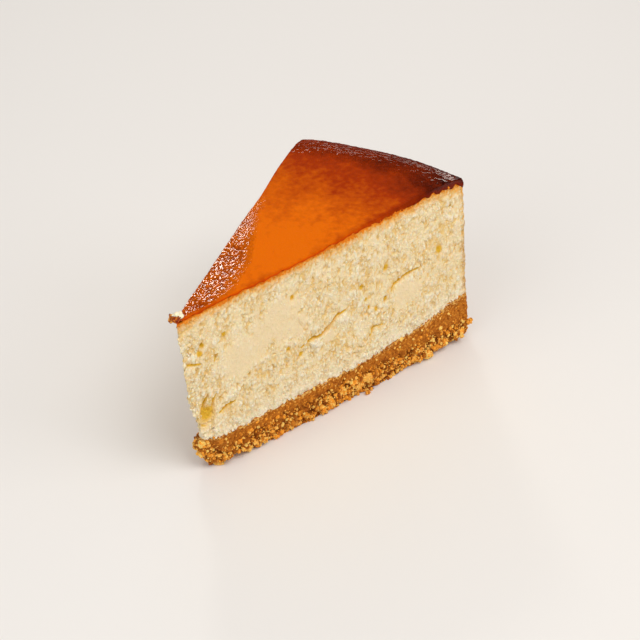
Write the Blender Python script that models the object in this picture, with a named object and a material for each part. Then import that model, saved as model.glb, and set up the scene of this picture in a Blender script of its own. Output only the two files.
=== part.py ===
"""One cut slice of baked cheesecake: a tall curd filling on a pressed biscuit base.

Units are metres, +Z up. The slice points its tip along -X and its outer crust
along +X. It stands on z = 0, with the origin at the bottom centre of its box.
"""

import math

import bmesh
import bpy
import numpy as np

# ---- driving dimensions -----------------------------------------------------
NEAR_CUT = 0.1132          # tip to rim along the cut on the -Y side
FAR_CUT = 0.1065           # tip to rim along the cut on the +Y side
WEDGE_ANGLE = math.radians(31.0)
TIN_RADIUS = 0.1180        # radius of the tin that shaped the outer wall
TIP_HEIGHT = 0.0645        # top of the slice at its tip
RIM_RISE = 0.0016          # how much higher the top is just inside the rim
RIM_RISE_AT = 0.0950       # distance from the tip where that rise is complete
RIM_TILT = 0.0450          # sideways distance over which the rise doubles towards -Y
SHOULDER_WIDTH = 0.0100    # the top rolls off over this distance to the wall
SHOULDER_DROP = 0.0018     # and falls by this much

BASE_THICKNESS = 0.0131    # pressed biscuit under most of the slice
BASE_LIP = 0.0066          # extra biscuit pushed up against the tin wall
BASE_LIP_WIDTH = 0.0260    # distance over which that lip fades out
BASE_NOSE = 0.0020         # extra biscuit heaped at the tip
BASE_NOSE_WIDTH = 0.0120   # distance over which that heap fades out
LAYER_GAP = 0.0003         # clearance between the base and the filling

LEAN = 0.0056              # the tip's top leans this far beyond its foot
NEAR_SPREAD = 0.0034       # the foot of the -Y cut stands out this far
TIP_SPREAD_SHARE = 0.20    # share of that spread that reaches the tip
REFERENCE_HEIGHT = 0.0600  # height at which the cuts have the lengths above

TIP_RADIUS_TOP = 0.0004    # rounding of the tip at the top
TIP_RADIUS_FOOT = 0.0037   # and at the foot, where the crumbs have broken off
TIP_BREAK_HEIGHT = 0.0340  # height at which the broken tip starts
CORNER_RADIUS = 0.0011     # rounding where a cut meets the outer wall
CORNER_RADIUS_FOOT = 0.0034  # and at the foot of the crumbly base
FOOT_SPREAD = 0.0004       # crumbs spread at the foot of the base
WAVE = 0.00022             # height of the gentle waves in the cuts and the wall

# ---- mesh density -----------------------------------------------------------
NEAR_STEPS = 40
WALL_STEPS = 24
FAR_STEPS = 34
ROUND_STEPS = 5
FILLING_LEVELS = 13
BASE_LEVELS = 5
CAP_RINGS = 8


def smooth_step(value):
    """0 below 0, 1 above 1, and an even S-curve between."""
    t = min(max(value, 0.0), 1.0)
    return t * t * (3.0 - 2.0 * t)


def unit(vector):
    return vector / np.linalg.norm(vector)


# ---- outline of the slice at one height -------------------------------------
def corners(z):
    """Tip, near rim corner and far rim corner at height z, before rounding."""
    below = (REFERENCE_HEIGHT - z) / TIP_HEIGHT
    near_way = np.array([math.cos(WEDGE_ANGLE / 2), -math.sin(WEDGE_ANGLE / 2)])
    far_way = np.array([math.cos(WEDGE_ANGLE / 2), math.sin(WEDGE_ANGLE / 2)])
    near_out = np.array([near_way[1], -near_way[0]])
    lean = np.array([LEAN * below, 0.0])
    spread = near_out * NEAR_SPREAD * below
    tip = lean + spread * TIP_SPREAD_SHARE
    near = lean + near_way * NEAR_CUT + spread
    far = lean + far_way * FAR_CUT
    return tip, near, far


def wall_arc(near, far):
    """Centre and angles of the tin's arc from the near to the far rim corner."""
    chord = far - near
    half = np.linalg.norm(chord) / 2
    middle = (near + far) / 2
    inwards = unit(np.array([-chord[1], chord[0]]))
    centre = middle + inwards * math.sqrt(TIN_RADIUS**2 - half**2)
    start = math.atan2(*(near - centre)[::-1])
    end = math.atan2(*(far - centre)[::-1])
    return centre, start, end


def rounded_corner(before, corner, after, radius):
    """Points of the arc that rounds a corner between two straight runs."""
    way_in = unit(before - corner)
    way_out = unit(after - corner)
    half = math.acos(float(np.clip(way_in @ way_out, -1.0, 1.0))) / 2
    reach = radius / math.tan(half)
    centre = corner + unit(way_in + way_out) * radius / math.sin(half)
    start = unit(corner + way_in * reach - centre)
    end = unit(corner + way_out * reach - centre)
    points = []
    for step in range(ROUND_STEPS + 1):
        t = step / ROUND_STEPS
        points.append(centre + unit(start * (1 - t) + end * t) * radius)
    return points


def tip_radius(z):
    broken = max(1.0 - z / TIP_BREAK_HEIGHT, 0.0) ** 1.5
    return TIP_RADIUS_TOP + (TIP_RADIUS_FOOT - TIP_RADIUS_TOP) * broken


def corner_radius(z):
    crumbled = 1.0 - smooth_step(z / BASE_THICKNESS)
    return CORNER_RADIUS + (CORNER_RADIUS_FOOT - CORNER_RADIUS) * crumbled


def run(start, end, steps):
    """Points strictly between two ends of a straight run."""
    return [start + (end - start) * k / steps for k in range(1, steps)]


def plain_outline(z):
    """The rounded slice outline at height z, anticlockwise from the tip."""
    tip, near, far = corners(z)
    centre, start, end = wall_arc(near, far)

    def on_arc(angle):
        return centre + TIN_RADIUS * np.array([math.cos(angle), math.sin(angle)])

    radius = corner_radius(z)
    margin = radius / TIN_RADIUS
    near_corner = rounded_corner(tip, near, on_arc(start + 2 * margin), radius)
    far_corner = rounded_corner(on_arc(end - 2 * margin), far, tip, radius)
    nose = rounded_corner(far, tip, near, tip_radius(z))

    points = list(nose)
    points += run(nose[-1], near_corner[0], NEAR_STEPS)
    points += near_corner
    for step in range(1, WALL_STEPS):
        t = step / WALL_STEPS
        points.append(on_arc(start + margin + (end - start - 2 * margin) * t))
    points += far_corner
    points += run(far_corner[-1], nose[0], FAR_STEPS)
    return np.array(points)


def waviness(points, z):
    """Gentle hollows and swellings that the knife and the tin left."""
    x, y = points[:, 0], points[:, 1]
    side = np.where(y < 0, 1.0, 1.4)
    broad = np.sin(2 * math.pi * (x / 0.083 + z / 0.140) * side + 0.8)
    cross = np.sin(2 * math.pi * (x / 0.051 - z / 0.037) * side + 2.1)
    fine = np.sin(2 * math.pi * (x / 0.023 + z / 0.019)) * np.sin(2 * math.pi * z / 0.044 + side)
    return WAVE * (broad + 0.6 * cross + 0.35 * fine)


def outline(z):
    """The uneven outline at height z: each point moved along its own normal."""
    points = plain_outline(z)
    along = np.roll(points, -1, axis=0) - np.roll(points, 1, axis=0)
    outward = np.stack([along[:, 1], -along[:, 0]], axis=1)
    outward /= np.linalg.norm(outward, axis=1, keepdims=True)
    foot = FOOT_SPREAD * (1.0 - smooth_step(z / BASE_THICKNESS))
    return points + outward * (waviness(points, z) + foot)[:, None]


# ---- level surfaces ---------------------------------------------------------
def wall_distance(x, y, z):
    """How far a point lies inside the outer wall."""
    _, near, far = corners(z)
    centre, _, _ = wall_arc(near, far)
    return max(TIN_RADIUS - math.hypot(x - centre[0], y - centre[1]), 0.0)


def top_surface(x, y):
    """The baked top: nearly level, a little higher inside a rounded rim."""
    tip, _, _ = corners(TIP_HEIGHT)
    from_tip = math.hypot(x - tip[0], y - tip[1])
    rise = RIM_RISE * smooth_step(from_tip / RIM_RISE_AT) * (1.0 - y / RIM_TILT)
    near_wall = 1.0 - wall_distance(x, y, TIP_HEIGHT) / SHOULDER_WIDTH
    drop = SHOULDER_DROP * max(near_wall, 0.0) ** 2.4
    ripple = 0.00018 * math.sin(x / 0.0071 + 1.3) * math.sin(y / 0.0063)
    return TIP_HEIGHT + rise - drop + ripple


def base_surface(x, y):
    """The top of the biscuit: level, with a lip at the wall and a heap at the tip."""
    tip, _, _ = corners(BASE_THICKNESS)
    from_tip = math.hypot(x - tip[0], y - tip[1])
    from_wall = wall_distance(x, y, BASE_THICKNESS)
    lip = BASE_LIP * math.exp(-((from_wall / BASE_LIP_WIDTH) ** 1.8))
    nose = BASE_NOSE * math.exp(-((from_tip / BASE_NOSE_WIDTH) ** 2))
    ripple = 0.0003 * math.sin(x / 0.0047) * math.cos(y / 0.0058 + 0.6)
    return BASE_THICKNESS + lip + nose + ripple


def filling_floor(x, y):
    return base_surface(x, y) + LAYER_GAP


def ground(x, y):
    return 0.0


# ---- solids -----------------------------------------------------------------
def settle(surface, guess):
    """An outline lying on a level surface: its height and shape agree."""
    flat = outline(guess)
    heights = [surface(x, y) for x, y in flat]
    rim = []
    for index, z in enumerate(heights):
        x, y = outline(z)[index]
        rim.append((x, y, surface(x, y)))
    return np.array(rim)


def side_rings(bottom, top, levels):
    """Rings from the bottom rim to the top rim, each on the slice's own wall."""
    rings = [bottom]
    for level in range(1, levels):
        t = level / levels
        heights = bottom[:, 2] * (1 - t) + top[:, 2] * t
        ring = []
        for index, z in enumerate(heights):
            x, y = outline(z)[index]
            ring.append((x, y, z))
        rings.append(np.array(ring))
    rings.append(top)
    return rings


def add_cap(mesh, rim, surface, faces_up):
    """Close a rim with rings that shrink to one point on the level surface."""
    middle = np.mean([vert.co[:2] for vert in rim], axis=0)
    outer = rim
    for ring in range(1, CAP_RINGS):
        scale = 1.0 - (ring / CAP_RINGS) ** 1.6
        inner = []
        for vert in rim:
            x = middle[0] + (vert.co.x - middle[0]) * scale
            y = middle[1] + (vert.co.y - middle[1]) * scale
            inner.append(mesh.verts.new((x, y, surface(x, y))))
        add_band(mesh, outer, inner, faces_up)
        outer = inner
    hub = mesh.verts.new((middle[0], middle[1], surface(*middle)))
    for index, vert in enumerate(outer):
        after = outer[(index + 1) % len(outer)]
        mesh.faces.new((vert, after, hub) if faces_up else (after, vert, hub))


def add_band(mesh, lower, upper, faces_out):
    """One band of quads between two rings of equal length."""
    for index, vert in enumerate(lower):
        after = (index + 1) % len(lower)
        corner = (vert, lower[after], upper[after], upper[index])
        mesh.faces.new(corner if faces_out else corner[::-1])


def layer(name, floor, ceiling, floor_guess, ceiling_guess, levels, material):
    """A closed layer of the slice between two level surfaces."""
    bottom = settle(floor, floor_guess)
    top = settle(ceiling, ceiling_guess)
    mesh = bmesh.new()
    rings = []
    for ring in side_rings(bottom, top, levels):
        rings.append([mesh.verts.new(point) for point in ring])
    for lower, upper in zip(rings, rings[1:]):
        add_band(mesh, lower, upper, True)
    add_cap(mesh, rings[0], floor, False)
    add_cap(mesh, rings[-1], ceiling, True)
    data = bpy.data.meshes.new(name)
    mesh.to_mesh(data)
    mesh.free()
    data.materials.append(material)
    data.shade_smooth()
    data.set_sharp_from_angle(angle=math.radians(40))
    item = bpy.data.objects.new(name, data)
    bpy.context.scene.collection.objects.link(item)
    return item


def food_material(name, colour, roughness):
    material = bpy.data.materials.new(name)
    material.use_nodes = True
    shader = material.node_tree.nodes["Principled BSDF"]
    shader.inputs["Base Color"].default_value = (*colour, 1.0)
    shader.inputs["Roughness"].default_value = roughness
    shader.inputs["Metallic"].default_value = 0.0
    return material


def make_base():
    crumb = food_material("baked_biscuit", (0.46, 0.19, 0.045), 0.85)
    return layer("biscuit_base", ground, base_surface, 0.0, BASE_THICKNESS, BASE_LEVELS, crumb)


def make_filling():
    curd = food_material("baked_curd", (0.80, 0.62, 0.36), 0.70)
    floor_guess = BASE_THICKNESS + LAYER_GAP
    return layer(
        "cheese_filling", filling_floor, top_surface, floor_guess, TIP_HEIGHT, FILLING_LEVELS, curd
    )


def centre_on_floor(items):
    """Move the meshes so that the box stands on z = 0, centred in x and y."""
    points = [vert.co for item in items for vert in item.data.vertices]
    middle_x = (min(p.x for p in points) + max(p.x for p in points)) / 2
    middle_y = (min(p.y for p in points) + max(p.y for p in points)) / 2
    for item in items:
        for vert in item.data.vertices:
            vert.co.x -= middle_x
            vert.co.y -= middle_y


def main():
    for item in list(bpy.data.objects):
        bpy.data.objects.remove(item, do_unlink=True)
    centre_on_floor([make_base(), make_filling()])


main()
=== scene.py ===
"""A slice of baked cheesecake: browned skin, crumbly curd and a pressed biscuit base."""

import math

import bmesh
import bpy
import numpy as np
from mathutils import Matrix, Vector, noise
from mathutils.bvhtree import BVHTree


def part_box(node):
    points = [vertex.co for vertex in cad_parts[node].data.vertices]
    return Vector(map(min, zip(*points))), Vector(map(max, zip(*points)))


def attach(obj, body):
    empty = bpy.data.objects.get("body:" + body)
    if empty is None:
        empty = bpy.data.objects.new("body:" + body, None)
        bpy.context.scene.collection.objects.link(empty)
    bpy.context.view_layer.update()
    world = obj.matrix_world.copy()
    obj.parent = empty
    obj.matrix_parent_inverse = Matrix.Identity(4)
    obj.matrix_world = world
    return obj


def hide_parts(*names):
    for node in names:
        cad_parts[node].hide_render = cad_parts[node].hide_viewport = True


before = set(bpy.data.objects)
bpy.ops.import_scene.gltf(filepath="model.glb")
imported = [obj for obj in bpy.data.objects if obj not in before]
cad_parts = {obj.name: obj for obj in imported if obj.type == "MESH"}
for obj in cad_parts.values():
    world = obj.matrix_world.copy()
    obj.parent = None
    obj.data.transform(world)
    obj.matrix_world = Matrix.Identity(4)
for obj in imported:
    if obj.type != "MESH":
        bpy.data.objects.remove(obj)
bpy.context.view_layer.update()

MM = 0.001

# ---- places and sizes read from the frame ------------------------------------
FILLING_LOW, FILLING_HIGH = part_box("cheese_filling")
BASE_LOW, BASE_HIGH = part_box("biscuit_base")
HUB = np.array([FILLING_LOW.x + 0.64 * (FILLING_HIGH.x - FILLING_LOW.x), 0.0])
TOP = FILLING_HIGH.z
REACH = 0.2                   # longer than the slice, for rays that look for its walls

# ---- mesh density ------------------------------------------------------------
NEAR_COLUMNS = 350            # columns along the cut on the -Y side
WALL_COLUMNS = 80             # columns along the outer wall
FAR_COLUMNS = 230             # columns along the cut on the +Y side
CURD_ROWS = 138
BASE_ROWS = 48
LEVELS = 34                   # heights at which the frame's walls are read
RAYS = 2600                   # rays round the slice at each of those heights
LUMP_KINDS = 6                # different lumps that every scatter picks from
LID_INSET = 2.5 * MM          # how far a body's hidden top and bottom lie inside its walls

# ---- camera and light --------------------------------------------------------
CAMERA_AIM = (33.75 * MM, 16.33 * MM, 0.0)
CAMERA_AZIMUTH = 304.735
CAMERA_ELEVATION = 38.187
CAMERA_DISTANCE = 525.6 * MM
CAMERA_LENS = 85.0

# Soft lights: name, azimuth, elevation, distance, width, height, power and colour.
LIGHTS = (
    ("key", 345.0, 62.0, 1.2, 0.6, 0.6, 6.0, (1.0, 0.98, 0.95)),
    ("left", 262.0, 38.0, 1.4, 1.0, 1.0, 4.4, (1.0, 0.98, 0.96)),
    ("right", 20.0, 30.0, 1.4, 0.8, 0.8, 3.0, (1.0, 0.98, 0.96)),
    ("gloss", 136.0, 32.0, 1.3, 0.17, 0.15, 1.6, (1.0, 0.97, 0.90)),
    ("rim", 117.0, 15.0, 1.3, 0.50, 0.12, 1.1, (1.0, 0.88, 0.80)),
)
ROOM_COLOUR = (1.0, 0.97, 0.93, 1.0)
BACKDROP_COLOUR = (0.80, 0.76, 0.72, 1.0)
ROOM_STRENGTH = 0.48          # of the light all round
GLOSS_STRENGTH = 0.02         # of what shiny parts reflect of it
BACKDROP_STRENGTH = 0.9       # of what shows behind the floor


# ==== reading the frame's walls ===============================================
def solid_tree(*names):
    """A search tree over the faces of one or more of the frame's solids."""
    points, faces = [], []
    for name in names:
        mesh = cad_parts[name].data
        start = len(points)
        points += [vert.co.copy() for vert in mesh.vertices]
        faces += [[start + index for index in face.vertices] for face in mesh.polygons]
    return BVHTree.FromPolygons(points, faces)


SLICE = solid_tree("cheese_filling", "biscuit_base")
FILLING = solid_tree("cheese_filling")
BASE = solid_tree("biscuit_base")


def wall_radius(angle, z):
    """Distance from the hub to the slice's outer wall, at one bearing and height."""
    way = Vector((math.cos(angle), math.sin(angle), 0.0))
    best = 0.0
    for step in (0.0, 0.7 * MM, -0.7 * MM):
        height = min(max(z + step, 0.3 * MM), TOP)
        start = Vector((HUB[0], HUB[1], height)) + way * REACH
        hit = SLICE.ray_cast(start, -way, REACH)[0]
        if hit is not None:
            best = max(best, math.hypot(hit.x - HUB[0], hit.y - HUB[1]))
    return best


def even_run(points, steps):
    """A polyline resampled to even steps, without its last point."""
    lengths = np.r_[0.0, np.cumsum(np.linalg.norm(np.diff(points, axis=0), axis=1))]
    spots = np.linspace(0.0, lengths[-1], steps + 1)[:-1]
    return np.stack([np.interp(spots, lengths, points[:, k]) for k in (0, 1)], axis=1)


def read_outline(z):
    """The slice's outline at height z: near cut, outer wall and far cut, evenly spaced."""
    angles = np.linspace(-math.pi, math.pi, RAYS, endpoint=False)
    radii = np.array([wall_radius(angle, z) for angle in angles])
    ring = HUB + radii[:, None] * np.stack([np.cos(angles), np.sin(angles)], axis=1)
    tip = int(np.argmin(ring[:, 0]))
    ring = np.roll(ring, -tip, axis=0)
    near = int(np.argmin(ring[:, 1] - 0.5 * ring[:, 0]))
    far = int(np.argmax(ring[:, 1] + 0.5 * ring[:, 0]))
    ring = np.vstack([ring, ring[:1]])
    runs = (
        even_run(ring[: near + 1], NEAR_COLUMNS),
        even_run(ring[near : far + 1], WALL_COLUMNS),
        even_run(ring[far:], FAR_COLUMNS),
    )
    return np.vstack(runs)


LEVEL_HEIGHTS = np.linspace(0.4 * MM, TOP - 3.5 * MM, LEVELS)
WALLS = np.array([read_outline(z) for z in LEVEL_HEIGHTS])
COLUMNS = NEAR_COLUMNS + WALL_COLUMNS + FAR_COLUMNS


def wall_points(heights):
    """The wall's x and y in every column, at that column's own height."""
    place = (heights - LEVEL_HEIGHTS[0]) / (LEVEL_HEIGHTS[1] - LEVEL_HEIGHTS[0])
    low = np.clip(np.floor(place).astype(int), 0, LEVELS - 2)
    part = (place - low)[:, None]
    column = np.arange(COLUMNS)
    return WALLS[low, column] * (1 - part) + WALLS[low + 1, column] * part


def height_at(tree, x, y, from_above):
    """Height of a solid's top or bottom at one place."""
    start = Vector((x, y, REACH if from_above else -REACH))
    hit = tree.ray_cast(start, Vector((0, 0, -1 if from_above else 1)))[0]
    return None if hit is None else hit.z


def rim_heights(tree, level, inset, from_above):
    """Height of a solid's top or bottom along the walls, just inside them."""
    outline = wall_points(np.full(COLUMNS, level))
    heights = []
    for x, y in outline:
        way = HUB - (x, y)
        spot = np.array([x, y]) + way / np.linalg.norm(way) * inset
        height = height_at(tree, spot[0], spot[1], from_above)
        heights.append(np.nan if height is None else height)
    heights = np.array(heights)
    known = ~np.isnan(heights)
    column = np.arange(COLUMNS)
    return np.interp(column, column[known], heights[known], period=COLUMNS)


def ragged(points, size, seed):
    """Smooth random values between about -1 and 1 along a line of points."""
    return np.array([
        noise.noise(Vector((x / size, y / size, seed))) * 2.0 for x, y in points
    ])


FOOTPRINT = wall_points(np.full(COLUMNS, 14 * MM))
TOP_OUTLINE = wall_points(np.full(COLUMNS, TOP - 3.5 * MM))
TOP_EDGE = rim_heights(FILLING, TOP - 4 * MM, 0.4 * MM, True)
BASE_EDGE = rim_heights(BASE, 14 * MM, 2.0 * MM, True)
BASE_EDGE += 0.45 * MM * ragged(FOOTPRINT, 4.5 * MM, 1.0)
BASE_EDGE += 0.30 * MM * ragged(FOOTPRINT, 1.6 * MM, 2.0)


def column_sides():
    """Which side each column belongs to: 0 near cut, 1 outer wall, 2 far cut."""
    return np.repeat([0, 1, 2], [NEAR_COLUMNS, WALL_COLUMNS, FAR_COLUMNS])


def distance_from_tip():
    """Length along the cut from the tip, for every column, in millimetres."""
    outline = wall_points(np.full(COLUMNS, 40 * MM))
    tip = outline[0]
    return np.linalg.norm(outline - tip, axis=1) / MM


def outward_normals():
    """The outline's outward direction in every column, smoothed a little."""
    ahead = np.roll(FOOTPRINT, -3, axis=0) - np.roll(FOOTPRINT, 3, axis=0)
    normals = np.stack([ahead[:, 1], -ahead[:, 0]], axis=1)
    return normals / np.linalg.norm(normals, axis=1)[:, None]


SIDES = column_sides()
ALONG = distance_from_tip()
OUTWARD = outward_normals()


# ==== small helpers for node trees ============================================
def node(tree, kind, inputs=None, **settings):
    """Adds a node; an input given a socket is linked, and any other value is set."""
    made = tree.nodes.new(kind)
    for key, value in settings.items():
        setattr(made, key, value)
    for key, value in (inputs or {}).items():
        if isinstance(value, bpy.types.NodeSocket):
            tree.links.new(value, made.inputs[key])
        else:
            made.inputs[key].default_value = value
    return made


def maths(tree, operation, *values, clamp=False):
    inputs = dict(enumerate(values))
    return node(tree, "ShaderNodeMath", inputs, operation=operation, use_clamp=clamp).outputs[0]


def vector_maths(tree, operation, first, second=None, scale=None):
    inputs = {0: first}
    if second is not None:
        inputs[1] = second
    if scale is not None:
        inputs["Scale"] = scale
    return node(tree, "ShaderNodeVectorMath", inputs, operation=operation).outputs[0]


def remap(tree, value, low, high, to_low=0.0, to_high=1.0):
    """Maps low..high on a value to to_low..to_high, clamped."""
    inputs = {"Value": value, 1: low, 2: high, 3: to_low, 4: to_high}
    return node(tree, "ShaderNodeMapRange", inputs).outputs[0]


def add_socket(tree, name, kind, value=None, output=False):
    in_out = "OUTPUT" if output else "INPUT"
    socket = tree.interface.new_socket(name=name, in_out=in_out, socket_type=kind)
    if value is not None:
        socket.default_value = value
    return socket


def geometry_tree(name, sizes):
    """A geometry tree with one geometry input, named sizes and a geometry output."""
    tree = bpy.data.node_groups.new(name, "GeometryNodeTree")
    add_socket(tree, "Geometry", "NodeSocketGeometry")
    for label, value in sizes.items():
        add_socket(tree, label, "NodeSocketFloat", value)
    add_socket(tree, "Material", "NodeSocketMaterial")
    add_socket(tree, "Geometry", "NodeSocketGeometry", output=True)
    return tree, tree.nodes.new("NodeGroupInput").outputs, tree.nodes.new("NodeGroupOutput").inputs


def set_inputs(modifier, values):
    """Sets a modifier's inputs by their sockets' identifiers."""
    tree = modifier.node_group
    for item in tree.interface.items_tree:
        if item.item_type == "SOCKET" and item.in_out == "INPUT" and item.name in values:
            modifier[item.identifier] = values[item.name]


def grow(source, tree, values, name):
    """Runs a geometry tree on a copy of a mesh and returns the result as a plain piece."""
    holder = add_piece(name + "_source", source)
    modifier = holder.modifiers.new("made", "NODES")
    modifier.node_group = tree
    set_inputs(modifier, values)
    graph = bpy.context.evaluated_depsgraph_get()
    graph.update()
    mesh = bpy.data.meshes.new_from_object(holder.evaluated_get(graph), depsgraph=graph)
    bpy.data.objects.remove(holder)
    mesh.name = name
    return add_piece(name, mesh)


def named(tree, name):
    """Reads a stored attribute."""
    made = node(tree, "GeometryNodeInputNamedAttribute", {"Name": name}, data_type="FLOAT")
    return made.outputs["Attribute"]


def store(tree, geometry, name, value, domain="POINT"):
    inputs = {"Geometry": geometry, "Name": name, "Value": value}
    made = node(
        tree, "GeometryNodeStoreNamedAttribute", inputs, data_type="FLOAT", domain=domain
    )
    return made.outputs[0]


def set_float(mesh, name, values):
    layer = mesh.attributes.get(name) or mesh.attributes.new(name, "FLOAT", "POINT")
    layer.data.foreach_set("value", np.asarray(values, dtype=np.float32))


def get_float(mesh, name):
    values = np.zeros(len(mesh.vertices), dtype=np.float32)
    mesh.attributes[name].data.foreach_get("value", values)
    return values


def fill_float(mesh, name, value):
    set_float(mesh, name, np.full(len(mesh.vertices), value))


def add_piece(name, mesh):
    """Puts a mesh, a camera or a light in the scene as an object of its own."""
    piece = bpy.data.objects.new(name, mesh)
    bpy.context.scene.collection.objects.link(piece)
    return piece


def push_out(tree, given, result, height, raised):
    """Moves a surface out along its normals, stores how high it stands, and ends the tree."""
    normal = node(tree, "GeometryNodeInputNormal").outputs[0]
    push = vector_maths(tree, "SCALE", normal, scale=height)
    body = store(tree, given["Geometry"], "raised", raised)
    body = node(tree, "GeometryNodeSetPosition", {"Geometry": body, "Offset": push}).outputs[0]
    body = node(tree, "GeometryNodeSetShadeSmooth", {0: body}).outputs[0]
    body = node(tree, "GeometryNodeSetMaterial", {0: body, "Material": given["Material"]}).outputs[0]
    tree.links.new(body, result[0])


# ==== relief: the same crumbly surface at different sizes =====================
def crumb_relief():
    """Raises a surface into flaky grains with narrow gaps, and stores how high each point is."""
    sizes = {
        "Grain Size": 1.2 * MM, "Grain Height": 0.3 * MM, "Gap Width": 0.16, "Gap Depth": 0.3 * MM,
        "Fine Size": 0.6 * MM, "Fine Height": 0.1 * MM, "Clump Size": 5 * MM,
        "Clump Height": 0.4 * MM, "Pit Depth": 0.4 * MM, "Stretch": 1.0, "Seed": 0.0,
    }
    tree, given, result = geometry_tree("crumb_relief", sizes)
    place = node(tree, "GeometryNodeInputPosition").outputs[0]
    rough = maths(tree, "SUBTRACT", 1.0, named(tree, "calm"), clamp=True)
    stretch = node(tree, "ShaderNodeCombineXYZ", {0: 1.0, 1: 1.0, 2: given["Stretch"]}).outputs[0]
    straight = vector_maths(tree, "MULTIPLY", place, stretch)

    def scale_of(name, times=1.0):
        return maths(tree, "DIVIDE", times, given[name])

    def cloud(name, times, detail, output=0):
        inputs = {
            "Vector": straight, "W": given["Seed"], "Scale": scale_of(name, times), "Detail": detail,
        }
        made = node(tree, "ShaderNodeTexNoise", inputs, noise_dimensions="4D")
        return made.outputs[output]

    bend = vector_maths(tree, "SUBTRACT", cloud("Grain Size", 0.7, 1.0, 1), (0.5, 0.5, 0.5))
    bend = vector_maths(tree, "SCALE", bend, scale=maths(tree, "MULTIPLY", given["Grain Size"], 1.5))
    spot = vector_maths(tree, "ADD", straight, bend)

    def cells(name, feature):
        inputs = {"Vector": spot, "W": given["Seed"], "Scale": scale_of(name)}
        return node(
            tree, "ShaderNodeTexVoronoi", inputs, voronoi_dimensions="4D", feature=feature
        ).outputs

    grain = cells("Grain Size", "F1")
    dome = maths(tree, "MULTIPLY", grain["Distance"], 1.1)
    dome = maths(tree, "SUBTRACT", 1.0, maths(tree, "POWER", dome, 2.0), clamp=True)
    own = node(tree, "ShaderNodeSeparateXYZ", {0: grain["Color"]}).outputs[0]
    grains = maths(tree, "ADD", maths(tree, "SUBTRACT", dome, 0.6), maths(tree, "SUBTRACT", own, 0.5))
    edge = cells("Grain Size", "DISTANCE_TO_EDGE")["Distance"]
    gap = remap(tree, edge, 0.0, given["Gap Width"], 1.0, 0.0)
    open_here = remap(tree, cloud("Clump Size", 1.7, 2.0), 0.42, 0.60, 0.15, 1.0)
    gap = maths(tree, "MULTIPLY", gap, open_here)
    fine = maths(tree, "SUBTRACT", 0.45, cells("Fine Size", "F1")["Distance"])
    patch = remap(tree, cloud("Clump Size", 0.7, 1.0), 0.35, 0.62, 0.4, 1.2)
    pits = remap(tree, cloud("Clump Size", 3.2, 1.0), 0.37, 0.28)

    small = maths(tree, "MULTIPLY", maths(tree, "MULTIPLY", grains, patch), given["Grain Height"])
    small = maths(tree, "SUBTRACT", small, maths(tree, "MULTIPLY", gap, given["Gap Depth"]))
    small = maths(tree, "ADD", small, maths(tree, "MULTIPLY", fine, given["Fine Height"]))
    small = maths(tree, "SUBTRACT", small, maths(tree, "MULTIPLY", pits, given["Pit Depth"]))
    small = maths(tree, "MULTIPLY", small, rough)
    clumps = maths(tree, "SUBTRACT", cloud("Clump Size", 1.0, 2.0), 0.5)
    clump_lift = maths(tree, "MULTIPLY", clumps, given["Clump Height"])
    clump_lift = maths(tree, "MULTIPLY", clump_lift, remap(tree, rough, 0.0, 1.0, 0.35, 1.0))
    carve = named(tree, "carve")
    height = maths(tree, "SUBTRACT", maths(tree, "ADD", small, clump_lift), carve)
    height = maths(tree, "MULTIPLY", height, named(tree, "relief"))

    deepest = maths(tree, "ADD", given["Grain Height"], given["Gap Depth"])
    raised = maths(tree, "SUBTRACT", small, maths(tree, "MULTIPLY", carve, 0.5))
    raised = maths(tree, "ADD", maths(tree, "DIVIDE", raised, deepest), 0.5)
    push_out(tree, given, result, height, raised)
    return tree


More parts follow.
